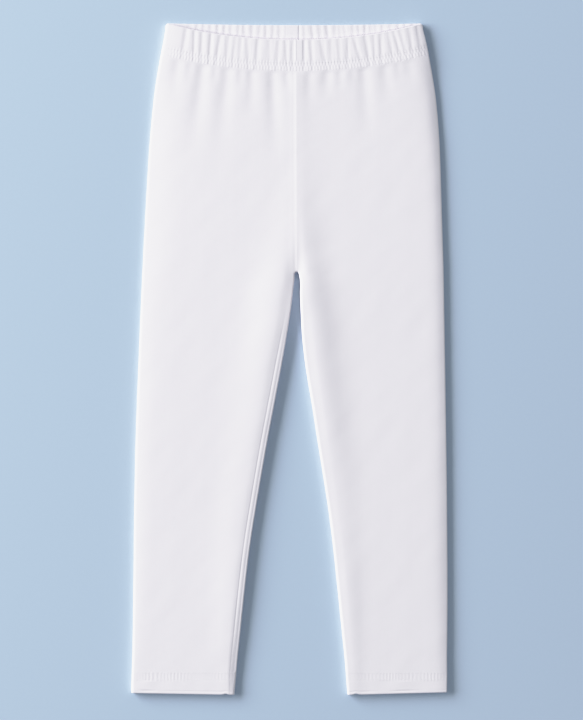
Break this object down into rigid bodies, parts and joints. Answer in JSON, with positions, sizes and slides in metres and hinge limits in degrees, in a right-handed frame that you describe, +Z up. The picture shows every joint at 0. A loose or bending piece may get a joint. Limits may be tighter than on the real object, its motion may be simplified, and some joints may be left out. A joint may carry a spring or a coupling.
{
  "type": "leggings",
  "caption": "Child's plain knit leggings laid flat, gathered elastic waist casing, one-piece legs, front and back rise seams, turned-up hems.",
  "frame": {"origin": "on the surface the garment lies on, under the middle of its outline", "axes": "+X towards the wearer's left leg, +Y towards the waist, +Z up, out of the front of the garment"},
  "size_m": [0.279, 0.5904, 0.0068],
  "materials": {
    "knit": "matte smooth cotton jersey, white",
    "gathered_knit": "matte cotton jersey gathered over elastic, white"
  },
  "bodies": {
    "root": {"right_leg": "knit", "left_leg": "knit", "right_waistband": "gathered_knit", "left_waistband": "gathered_knit", "right_hem": "knit", "left_hem": "knit"}
  },
  "joints": []
}
